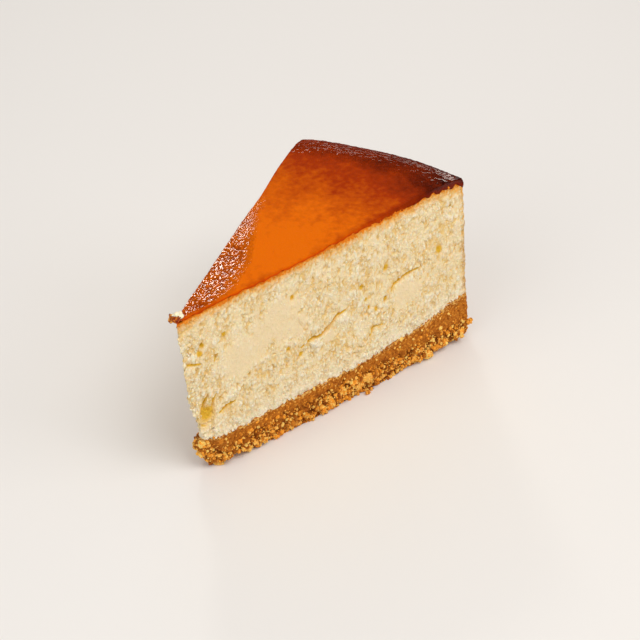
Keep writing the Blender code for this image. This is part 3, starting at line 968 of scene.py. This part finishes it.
def places_on_cuts(points, side):
    """Each wall point's distance from the top's tip along its own cut, and its height."""
    tip = TOP_OUTLINE[0]
    near_way = TOP_OUTLINE[NEAR_COLUMNS] - tip
    far_way = TOP_OUTLINE[NEAR_COLUMNS + WALL_COLUMNS] - tip
    near_way /= np.linalg.norm(near_way)
    far_way /= np.linalg.norm(far_way)
    along = np.where(side == 2, (points[:, :2] - tip) @ far_way, (points[:, :2] - tip) @ near_way)
    return np.stack([along, points[:, 2]], axis=1) / MM


def make_curd():
    """The curd body: two crumbly cuts, a baked wall, and marks that the knife left."""
    bottom = BASE_EDGE - 0.2 * MM
    top = TOP_EDGE - 0.5 * MM
    mesh, column, heights, _ = walled_body(
        "curd", bottom, top, CURD_ROWS, (-0.6 * MM, -1.2 * MM), curd_swell
    )
    count = len(mesh.vertices)
    side = SIDES[column]
    points = np.array([vert.co for vert in mesh.vertices][: len(column)])
    places = places_on_cuts(points, side)
    depth, crack, calm = wall_marks(side, places)
    corner = np.minimum(np.abs(column - NEAR_COLUMNS), np.abs(column - NEAR_COLUMNS - WALL_COLUMNS))
    baked = np.where(side == 1, 1.0, np.clip(1.0 - corner / 7, 0.0, 1.0))
    rimward = np.clip(places[:, 0] / CUT_LENGTH, 0.0, 1.0)
    band = 0.9 + 0.4 * rimward ** 2.2
    under_skin = (top[column] - heights) / MM / band
    above_base = (heights - bottom[column]) / MM
    crumbs = np.where(side == 1, 0.12, 1.0) * (1.0 - calm) * (depth < 0.15) * (above_base < 44.0)
    set_float(mesh, "calm", pad(calm, count, 1.0))
    set_float(mesh, "carve", pad(depth * MM, count))
    set_float(mesh, "crack", pad(crack, count))
    set_float(mesh, "relief", pad(np.ones(len(places)), count))
    set_float(mesh, "baked", pad(baked, count))
    set_float(mesh, "under_skin", pad(under_skin, count))
    set_float(mesh, "above_base", pad(above_base, count, 9.0))
    set_float(mesh, "crumbs", pad(crumbs, count))
    values = {
        "Grain Size": 1.15 * MM, "Grain Height": 0.34 * MM, "Gap Width": 0.22,
        "Gap Depth": 0.48 * MM, "Fine Size": 0.80 * MM, "Fine Height": 0.34 * MM,
        "Clump Size": 5.5 * MM, "Clump Height": 0.6 * MM, "Pit Depth": 0.5 * MM,
        "Stretch": 0.62, "Seed": 3.1, "Material": curd_material(),
    }
    piece = grow(mesh, RELIEF, values, "curd")
    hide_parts("cheese_filling")
    return piece


def make_curd_grains(curd):
    """Pale grains of curd bedded in the cuts."""
    values = {
        "Lump Size": 0.85 * MM, "Least": 0.42, "Per Square Metre": 0.55e6, "Sink": 0.36,
        "Unevenness": 0.26, "Seed": 11.0, "Faces": 1.0, "Material": curd_grain_material(),
    }
    piece = grow(curd.data.copy(), SCATTER, values, "curd_grains")
    piece.data.shade_smooth()
    return piece


# ==== browned skin ============================================================
SKIN_STEPS = 300              # steps from the tip to the rim
SKIN_LANES = 150              # lanes from one cut to the other
SKIN_LIFT = 0.25 * MM         # how far the skin stands above the frame's top
SKIN_AT_TIP = 1.05 * MM       # its thickness at the tip
SKIN_AT_RIM = 1.5 * MM        # and at the rim
SKIN_AT_CORNER = 1.3 * MM     # more at the rim's corner on the -Y side
EDGE_ROWS = 5                 # rows down the skin's cut edge
OVERHANG = 0.14 * MM          # how far its edge stands out past the curd
OVERHANG_AT_RIM = 0.35 * MM   # and past the outer wall
FAR_ROLL = 0.45 * MM          # how far it rolls down along the far cut
FAR_ROLL_WIDTH = 7 * MM
SKIN_WIDTH = 61.0             # millimetres from cut to cut at the rim


def skin_runs():
    """The skin's edge along the near cut, the far cut and the outer wall."""
    outline = wall_points(TOP_EDGE - 0.3 * MM)
    near_run = outline[: NEAR_COLUMNS + 1]
    wall_run = outline[NEAR_COLUMNS : NEAR_COLUMNS + WALL_COLUMNS + 1]
    far_run = np.vstack([outline[:1], outline[: NEAR_COLUMNS + WALL_COLUMNS - 1 : -1]])

    def spread(run, steps):
        return np.vstack([even_run(run, steps), run[-1:]])

    return spread(near_run, SKIN_STEPS), spread(far_run, SKIN_STEPS), spread(wall_run, SKIN_LANES)


def skin_row_heights(row):
    """Heights across one row of the skin, read where the frame's top is flat under it."""
    heights = np.full(len(row), np.nan)
    for lane, (x, y) in enumerate(row):
        height = height_at(FILLING, x, y, True)
        if height is not None and height > TOP - 7 * MM:
            heights[lane] = height
    known = np.flatnonzero(~np.isnan(heights))
    if len(known) < 8:
        return None
    inner = known[2:-2]
    return np.interp(np.arange(len(row)), inner, heights[inner]) + SKIN_LIFT


def skin_grid():
    """Points of the skin's upper face, by step from the tip and by lane."""
    near_run, far_run, wall_run = skin_runs()
    points = np.zeros((SKIN_STEPS + 1, SKIN_LANES + 1, 3))
    lane = np.linspace(0.0, 1.0, SKIN_LANES + 1)[:, None]
    straight = near_run[-1] * (1 - lane) + far_run[-1] * lane
    rows = []
    for step in range(SKIN_STEPS + 1):
        share = step / SKIN_STEPS
        row = near_run[step] * (1 - lane) + far_run[step] * lane
        points[step, :, :2] = row + share ** 2 * (wall_run - straight)
        rows.append(skin_row_heights(points[step, :, :2]))
    found = [step for step, heights in enumerate(rows) if heights is not None]
    for step in range(SKIN_STEPS + 1):
        closest = min(max(step, found[0]), found[-1])
        points[step, :, 2] = rows[closest] if rows[closest] is not None else rows[closest - 1]
    return points


def ring_faces(upper, lower):
    """Quads between two closed rings of points."""
    count = len(upper)
    pairs = [(k, (k + 1) % count) for k in range(count)]
    return [(upper[k], lower[k], lower[after], upper[after]) for k, after in pairs]


def skin_mesh():
    """A thin closed sheet: its upper face, its edge rows and a hidden underside."""
    grid = skin_grid()
    steps, lanes = SKIN_STEPS, SKIN_LANES
    share = np.linspace(0.0, 1.0, steps + 1)[:, None] * np.ones((1, lanes + 1))
    lane = np.ones((steps + 1, 1)) * np.linspace(0.0, 1.0, lanes + 1)[None, :]
    width = np.linalg.norm(grid[:, -1, :2] - grid[:, 0, :2], axis=1)[:, None]
    from_far = (1.0 - lane) * width
    roll = np.clip(1.0 - from_far / FAR_ROLL_WIDTH, 0.0, 1.0) ** 2 * np.clip(share * 5, 0, 1)
    grid[:, :, 2] -= FAR_ROLL * roll
    points = [grid[0, 0]]
    facts = [(0.0, 0.5, 0.0, 1.0)]            # share, lane, cut edge, relief
    index = np.zeros((steps + 1, lanes + 1), dtype=int)
    for step in range(1, steps + 1):
        for k in range(lanes + 1):
            index[step, k] = len(points)
            points.append(grid[step, k])
            facts.append((share[step, k], lane[step, k], 0.0, 1.0))
    faces = []
    for k in range(lanes):
        faces.append((0, index[1, k], index[1, k + 1]))
    for step in range(1, steps):
        for k in range(lanes):
            quad = (index[step, k], index[step + 1, k], index[step + 1, k + 1], index[step, k + 1])
            faces.append(quad)
    rim = [0] + list(index[1:, 0]) + list(index[steps, 1:]) + list(index[1:-1, lanes][::-1])
    outside = np.array([points[i] for i in rim])
    before, after = np.roll(outside, 1, axis=0), np.roll(outside, -1, axis=0)
    way = (after - before)[:, :2]
    outward = np.stack([way[:, 1], -way[:, 0]], axis=1)
    outward /= np.linalg.norm(outward, axis=1)[:, None]
    rim_share = np.array([facts[i][0] for i in rim])
    rim_lane = np.array([facts[i][1] for i in rim])
    corner = np.clip((rim_share - 0.62) / 0.38, 0, 1) ** 1.4 * np.clip(1 - rim_lane * 4, 0, 1)
    thick = SKIN_AT_TIP + (SKIN_AT_RIM - SKIN_AT_TIP) * rim_share ** 2 + SKIN_AT_CORNER * corner
    torn = ragged(outside[:, :2], 2.4 * MM, 4.0)
    thick = thick * (1.0 + 0.35 * torn)
    reach = np.where(rim_share > 0.995, OVERHANG_AT_RIM, OVERHANG)
    last = rim
    for row in range(1, EDGE_ROWS + 1):
        down = row / EDGE_ROWS
        curve = math.sin(math.pi * min(1.0, down * 0.85 + 0.12))
        start = len(points)
        for k in range(len(rim)):
            x, y = outside[k, :2] + outward[k] * curve * reach[k]
            points.append((x, y, outside[k, 2] - thick[k] * down))
            facts.append((rim_share[k], rim_lane[k], min(1.0, down * 1.6), 1.0))
        ring = list(range(start, start + len(rim)))
        faces += ring_faces(last, ring)
        last = ring
    start = len(points)
    for k in range(len(rim)):
        x, y = outside[k, :2] - outward[k] * 0.8 * MM
        points.append((x, y, outside[k, 2] - thick[k] - 0.25 * MM))
        facts.append((rim_share[k], rim_lane[k], 1.0, 0.0))
    ring = list(range(start, start + len(rim)))
    faces += ring_faces(last, ring)
    faces.append(ring[::-1])
    return build_mesh("browned_skin", points, faces), np.array(facts)


def make_skin():
    """The browned top: a thin closed sheet, thicker and darker towards the rim."""
    mesh, facts = skin_mesh()
    share, lane, cut_edge, keep = facts.T
    from_near = lane * share * SKIN_WIDTH
    from_far = (1.0 - lane) * share * SKIN_WIDTH
    browning = 0.04 + 0.60 * np.clip((share - 0.47) / 0.42, 0, 1) ** 1.1
    browning -= 0.16 * np.clip((share - 0.60) / 0.2, 0, 1) * np.clip((lane - 0.55) / 0.4, 0, 1)
    browning += 0.20 * np.clip((share - 0.86) / 0.12, 0, 1)
    corner = np.clip((share - 0.74) / 0.24, 0, 1) * np.clip(1 - from_near / 17.0, 0, 1)
    browning += 0.42 * corner ** 1.1
    browning += 0.18 * np.clip(1 - share / 0.50, 0, 1) * np.clip(1 - from_far / 10.0, 0, 1)
    browning += 0.16 * np.clip(1 - from_near / 2.0, 0, 1)
    band = 11.0 - 7.0 * np.clip((share - 0.32) / 0.22, 0, 1)
    left_band = np.clip((band - from_far) / 4.5, 0, 1) * np.clip((0.64 - share) / 0.16, 0, 1)
    left_band *= np.clip(from_near / 1.5, 0, 1)
    rim_band = np.clip((share - 0.87) / 0.05, 0, 1)
    corner_band = np.clip((share - 0.84) / 0.06, 0, 1) * np.clip((11.0 - from_near) / 5.0, 0, 1)
    wet = np.clip(left_band ** 1.6 + 0.24 * rim_band + 0.5 * corner_band, 0, 1)
    wet *= 1 - 0.8 * cut_edge
    wrinkled = np.clip(0.15 + left_band ** 0.5 + 0.9 * rim_band + 0.9 * corner_band, 0, 1)
    set_float(mesh, "browning", browning)
    set_float(mesh, "cut_edge", cut_edge)
    set_float(mesh, "relief", keep)
    set_float(mesh, "wet", wet)
    set_float(mesh, "wrinkled", wrinkled * (1 - cut_edge * 0.5))
    values = {
        "Wrinkle Size": 0.95 * MM, "Wrinkle Height": 0.26 * MM, "Swell Size": 9 * MM,
        "Swell Height": 0.22 * MM, "Seed": 5.2, "Material": skin_material(),
    }
    return grow(mesh, skin_wrinkles(), values, "browned_skin")


def skin_wrinkles():
    """Raises the skin into small pebbly wrinkles over low swells."""
    sizes = {
        "Wrinkle Size": 1.5 * MM, "Wrinkle Height": 0.1 * MM, "Swell Size": 9 * MM,
        "Swell Height": 0.3 * MM, "Seed": 0.0,
    }
    tree, given, result = geometry_tree("skin_wrinkles", sizes)
    place = node(tree, "GeometryNodeInputPosition").outputs[0]

    def cloud(name, times, detail, output=0):
        scale = maths(tree, "DIVIDE", times, given[name])
        inputs = {"Vector": place, "W": given["Seed"], "Scale": scale, "Detail": detail}
        return node(tree, "ShaderNodeTexNoise", inputs, noise_dimensions="4D").outputs[output]

    bend = vector_maths(tree, "SCALE", cloud("Wrinkle Size", 0.6, 1.0, 1), scale=given["Wrinkle Size"])
    inputs = {
        "Vector": vector_maths(tree, "ADD", place, bend), "W": given["Seed"],
        "Scale": maths(tree, "DIVIDE", 1.0, given["Wrinkle Size"]),
    }
    pebbles = node(tree, "ShaderNodeTexVoronoi", inputs, voronoi_dimensions="4D").outputs["Distance"]
    pebbles = maths(tree, "MULTIPLY", maths(tree, "SUBTRACT", 0.45, pebbles), 0.9)
    ridges = maths(tree, "SUBTRACT", cloud("Wrinkle Size", 0.35, 2.0), 0.5)
    small = maths(tree, "ADD", pebbles, ridges)
    small = maths(tree, "MULTIPLY", small, named(tree, "wrinkled"))
    lift = maths(tree, "MULTIPLY", small, given["Wrinkle Height"])
    swell = maths(tree, "SUBTRACT", cloud("Swell Size", 1.0, 2.0), 0.5)
    swell = maths(tree, "MULTIPLY", swell, given["Swell Height"])
    height = maths(tree, "MULTIPLY", maths(tree, "ADD", lift, swell), named(tree, "relief"))
    push_out(tree, given, result, height, maths(tree, "ADD", small, 0.5))
    return tree


# ==== the biscuit base ========================================================
UNDERCUT = 1.0                # millimetres that the foot is set back
UNDERCUT_AT_RIM = 3.2         # more towards the rim
UNDERCUT_AT_TIP = 1.2         # and towards the tip
UNDERCUT_HEIGHT = 3.6
NOSE_REACH = 4.0              # how far the base bulges round the tip on the +Y side
NOSE_LENGTH = 17.0
BLUNT_TIP = 1.8               # how far its very tip is worn back
BLUNT_FOOT = 2.2              # and its foot
# Lifts the clusters' tones: partly their own golden colour, partly painted light.
CLUSTER_TONE = 0.42           # the darkest tone in the clusters, between 0 and 1


def base_swell(column, heights):
    """The base is undercut at its foot and bulges round the tip, more on the +Y side."""
    along, up = ALONG[column], heights / MM
    deep = UNDERCUT + UNDERCUT_AT_RIM * np.clip((along - 72.0) / 38.0, 0, 1)
    deep += UNDERCUT_AT_TIP * np.clip((32.0 - along) / 18.0, 0, 1) * (SIDES[column] == 0)
    deep += BLUNT_FOOT * np.clip((14.0 - along) / 10.0, 0, 1)
    under = deep * np.clip(1.0 - up / UNDERCUT_HEIGHT, 0.0, 1.0) ** 1.3
    nose = np.clip(along / 2.5, 0.0, 1.0) * np.clip(1.0 - along / NOSE_LENGTH, 0.0, 1.0) ** 0.8
    nose = np.where(SIDES[column] == 2, nose * NOSE_REACH, 0.0)
    blunt = BLUNT_TIP * np.clip(1.0 - along / 3.5, 0.0, 1.0)
    nose = (nose - blunt) * np.clip((17.0 - up) / 8.0, 0.0, 1.0) ** 0.7
    return (nose - under) * MM


def make_base():
    """The pressed biscuit under the curd: compact above, breaking into clusters below."""
    bottom = np.zeros(COLUMNS) + 0.1 * MM
    top = BASE_EDGE + 0.1 * MM
    mesh, column, heights, share = walled_body(
        "pressed_base", bottom, top, BASE_ROWS, (0.0, 0.0), base_swell
    )
    count = len(mesh.vertices)
    side = SIDES[column]
    height = heights / MM
    lower = np.clip((10.0 - height) / 4.0, 0, 1)
    nose = np.clip(1.0 - ALONG[column] / 12.0, 0, 1)
    set_float(mesh, "calm", pad(0.68 - 0.68 * lower, count, 1.0))
    fill_float(mesh, "carve", 0.0)
    set_float(mesh, "relief", pad(np.clip(share * 12, 0, 1), count))
    set_float(mesh, "baked", pad(np.where(side == 1, 1.0, 0.2), count))
    set_float(mesh, "above_foot", pad(share, count))
    crumbs = np.clip(0.10 + 0.9 * lower + 0.5 * nose, 0.0, 1.0)
    set_float(mesh, "crumbs", pad(crumbs, count))
    foot = np.clip((7.5 - height) / 3.0, 0, 1) * (height > 1.2) + 0.8 * nose
    set_float(mesh, "clusters", pad(np.clip(foot, 0, 1), count))
    values = {
        "Grain Size": 3.2 * MM, "Grain Height": 1.2 * MM, "Gap Width": 0.16, "Gap Depth": 0.9 * MM,
        "Fine Size": 1.1 * MM, "Fine Height": 0.7 * MM, "Clump Size": 6 * MM,
        "Clump Height": 1.2 * MM, "Pit Depth": 0.5 * MM, "Stretch": 1.0, "Seed": 8.4,
        "Material": biscuit_material(),
    }
    piece = grow(mesh, RELIEF, values, "pressed_base")
    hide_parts("biscuit_base")
    return piece


def scattered(source, name, size, least, density, sink, uneven, faces, seed):
    """Scatters crumbs of one kind over a mesh, by its crumbs attribute."""
    values = {
        "Lump Size": size, "Least": least, "Per Square Metre": density, "Sink": sink,
        "Unevenness": uneven, "Seed": seed, "Faces": faces, "Material": CRUMB,
    }
    return grow(source, SCATTER, values, name)


def make_base_crumbs(base):
    """Crumbs on the base: clusters at the foot and nose, then coarse and fine ones."""
    foot = base.data.copy()
    set_float(foot, "crumbs", get_float(foot, "clusters"))
    cores = scattered(foot, "cluster_cores", 3.3 * MM, 0.5, 0.055e6, 0.10, 0.16, 2.0, 23.0)
    cover = cores.data.copy()
    fill_float(cover, "crumbs", 1.0)
    golden = scattered(cover, "cluster_crumbs", 1.2 * MM, 0.5, 1.1e6, 0.0, 0.16, 1.0, 24.0)
    # The clusters take only the paler tones: partly the crumbs' own golden colour, partly painted light at
    # the foot and tip.
    for piece in (cores, golden):
        tone = get_float(piece.data, "tone")
        set_float(piece.data, "tone", CLUSTER_TONE + (1.0 - CLUSTER_TONE) * tone)
    return [
        cores,
        golden,
        scattered(base.data.copy(), "coarse_crumbs", 1.75 * MM, 0.55, 0.30e6, 0.05, 0.20, 2.0, 21.0),
        scattered(base.data.copy(), "fine_crumbs", 1.10 * MM, 0.40, 1.35e6, 0.02, 0.16, 1.0, 22.0),
    ]


CRUMB = crumb_material()


# ==== loose bits ==============================================================
# Strays beside the foot: place in millimetres, and size.
STRAY_CRUMBS = ((10.6, -18.9, 1.6), (12.9, -18.6, 1.1), (21.0, 25.0, 1.4), (43.0, 31.6, 1.0))


def lump(name, places, material):
    """Uneven lumps as one piece: each has a centre, a size, a stretch and a seed."""
    points, faces = [], []
    for centre, size, stretch, seed in places:
        ball = bpy.data.meshes.new("ball")
        shape = bmesh.new()
        bmesh.ops.create_icosphere(shape, subdivisions=3, radius=0.5)
        shape.to_mesh(ball)
        shape.free()
        start = len(points)
        for vert in ball.vertices:
            way = vert.co.normalized()
            bump = 1.0 + 0.35 * noise.noise(way * 1.7 + Vector((seed, 0, 0)))
            bump += 0.18 * noise.noise(way * 5.0 + Vector((0, seed, 0)))
            spot = Vector(centre) + Vector([vert.co[k] * bump * size * stretch[k] for k in range(3)])
            points.append((spot.x, spot.y, max(spot.z, 0.05 * MM)))
        faces += [[start + index for index in face.vertices] for face in ball.polygons]
        bpy.data.meshes.remove(ball)
    mesh = build_mesh(name, points, faces)
    mesh.materials.append(material)
    mesh.shade_smooth()
    return add_piece(name, mesh)


def make_stray_crumbs():
    """A few crumbs beside the foot, and one that sticks out at the end of the near cut."""
    places = []
    for index, (x, y, size) in enumerate(STRAY_CRUMBS):
        place = (x * MM, y * MM, size * 0.42 * MM)
        places.append((place, size * MM, (1.1, 0.9, 0.85), 3.7 * index))
    x, y = wall_points(np.full(COLUMNS, 7.6 * MM))[NEAR_COLUMNS]
    places.append(((x + 0.5 * MM, y - 0.7 * MM, 7.6 * MM), 2.4 * MM, (1.2, 0.8, 0.8), 21.0))
    cores = lump("stray_cores", places, CRUMB)
    fill_float(cores.data, "crumbs", 1.0)
    fill_float(cores.data, "tone", 0.55)
    cover = scattered(
        cores.data.copy(), "stray_crumbs", 0.8 * MM, 0.5, 1.4e6, 0.0, 0.16, 1.0, 25.0
    )
    return [cores, cover]


def make_tip_bits():
    """The torn bit of skin and the pale crumb at the tip of the top."""
    tip = Vector((*TOP_OUTLINE[0], TOP_EDGE[0]))
    flake = lump("tip_flake", (
        (tip + Vector((0.8, 0.8, 0.5)) * MM, 3.4 * MM, (0.9, 1.1, 0.55), 2.0),
        (tip + Vector((-0.1, 1.6, -0.1)) * MM, 2.0 * MM, (0.9, 0.9, 0.7), 5.0),
    ), torn_skin_material())
    pale = lump("tip_crumb", (
        (tip + Vector((1.4, 0.7, 1.4)) * MM, 2.0 * MM, (1.0, 0.8, 0.7), 8.0),
        (tip + Vector((1.9, -0.3, 1.0)) * MM, 1.8 * MM, (1.0, 0.9, 0.7), 11.0),
        (tip + Vector((0.7, 1.3, 1.1)) * MM, 1.2 * MM, (1.0, 0.9, 0.8), 14.0),
        (tip + Vector((2.7, 0.5, 1.2)) * MM, 1.3 * MM, (1.0, 0.9, 0.8), 17.0),
    ), bpy.data.materials["curd_grain"])
    fill_float(pale.data, "tone", 0.6)
    return [flake, pale]


def torn_skin_material():
    """A torn bit of browned skin."""
    material, tree, shader = food_material("torn_skin", 0.5, 0.2)
    mottle = use_group(tree, MOTTLE, {"Cloud Size": 2 * MM, "Speckle Size": 0.6 * MM, "Seed": 12.0})
    colour = mix(tree, remap(tree, mottle["Speckle"], 0.35, 0.55), FLAKE_RUST, SKIN_EDGE_DARK)
    colour = mix(tree, remap(tree, mottle["Cloud"], 0.52, 0.62), colour, HONEY)
    tree.links.new(colour, shader.inputs["Base Color"])
    grain = use_group(tree, FINE_GRAIN, {"Size": 0.5 * MM, "Seed": 13.0})
    add_bump(tree, shader, grain["Height"], 0.15 * MM, 0.8)
    return material


# ==== stage ===================================================================
def make_floor():
    mesh = build_mesh("floor", [(-6, -6, 0), (6, -6, 0), (6, 6, 0), (-6, 6, 0)], [(0, 1, 2, 3)])
    floor = add_piece("floor", mesh)
    material, _, shader = food_material("pale_floor", 0.55, 0.2)
    shader.inputs["Base Color"].default_value = (*PALE_FLOOR, 1.0)
    mesh.materials.append(material)


def aim(item, target):
    way = Vector(target) - item.location
    item.rotation_euler = way.to_track_quat("-Z", "Y").to_euler()


def from_bearing(azimuth, elevation, distance, target=(0.0, 0.0, 0.0)):
    """A point at a bearing: azimuth 0 is on the -Y side, and 90 on the +X side."""
    turn, lift = math.radians(azimuth), math.radians(elevation)
    way = Vector((math.sin(turn) * math.cos(lift), -math.cos(turn) * math.cos(lift), math.sin(lift)))
    return Vector(target) + way * distance


def make_camera():
    data = bpy.data.cameras.new("camera")
    data.lens = CAMERA_LENS
    data.sensor_width = 36.0
    data.clip_start = 0.01
    camera = add_piece("camera", data)
    camera.location = from_bearing(CAMERA_AZIMUTH, CAMERA_ELEVATION, CAMERA_DISTANCE, CAMERA_AIM)
    aim(camera, CAMERA_AIM)
    bpy.context.scene.camera = camera


def soft_box(name, azimuth, elevation, distance, width, height, power, colour):
    data = bpy.data.lights.new(name, "AREA")
    data.shape = "RECTANGLE"
    data.size = width
    data.size_y = height
    data.energy = power
    data.color = colour
    light = add_piece(name, data)
    light.location = from_bearing(azimuth, elevation, distance)
    aim(light, (0.0, 0.0, 0.03))


def make_lights():
    for facts in LIGHTS:
        soft_box(*facts)
    world = bpy.data.worlds.new("studio")
    world.use_nodes = True
    bpy.context.scene.world = world
    tree = world.node_tree
    tree.nodes.clear()
    room, dark, pale = (
        node(tree, "ShaderNodeBackground", {"Color": colour, "Strength": strength})
        for colour, strength in (
            (ROOM_COLOUR, ROOM_STRENGTH), (ROOM_COLOUR, GLOSS_STRENGTH),
            (BACKDROP_COLOUR, BACKDROP_STRENGTH),
        )
    )
    path = node(tree, "ShaderNodeLightPath").outputs
    sky = room.outputs[0]
    for ray, other in (("Is Glossy Ray", dark), ("Is Camera Ray", pale)):
        inputs = {0: path[ray], 1: sky, 2: other.outputs[0]}
        sky = node(tree, "ShaderNodeMixShader", inputs).outputs[0]
    node(tree, "ShaderNodeOutputWorld", {"Surface": sky})
    bpy.context.scene.view_settings.view_transform = "Standard"


# ==== putting the slice together ==============================================
def main():
    make_camera()
    make_lights()
    make_floor()
    curd = make_curd()
    base = make_base()
    pieces = {
        "curd": [curd, make_curd_grains(curd), make_skin(), *make_tip_bits()],
        "biscuit": [base, *make_base_crumbs(base), *make_stray_crumbs()],
    }
    for slot, items in pieces.items():
        for piece in items:
            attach(piece, "root")


main()
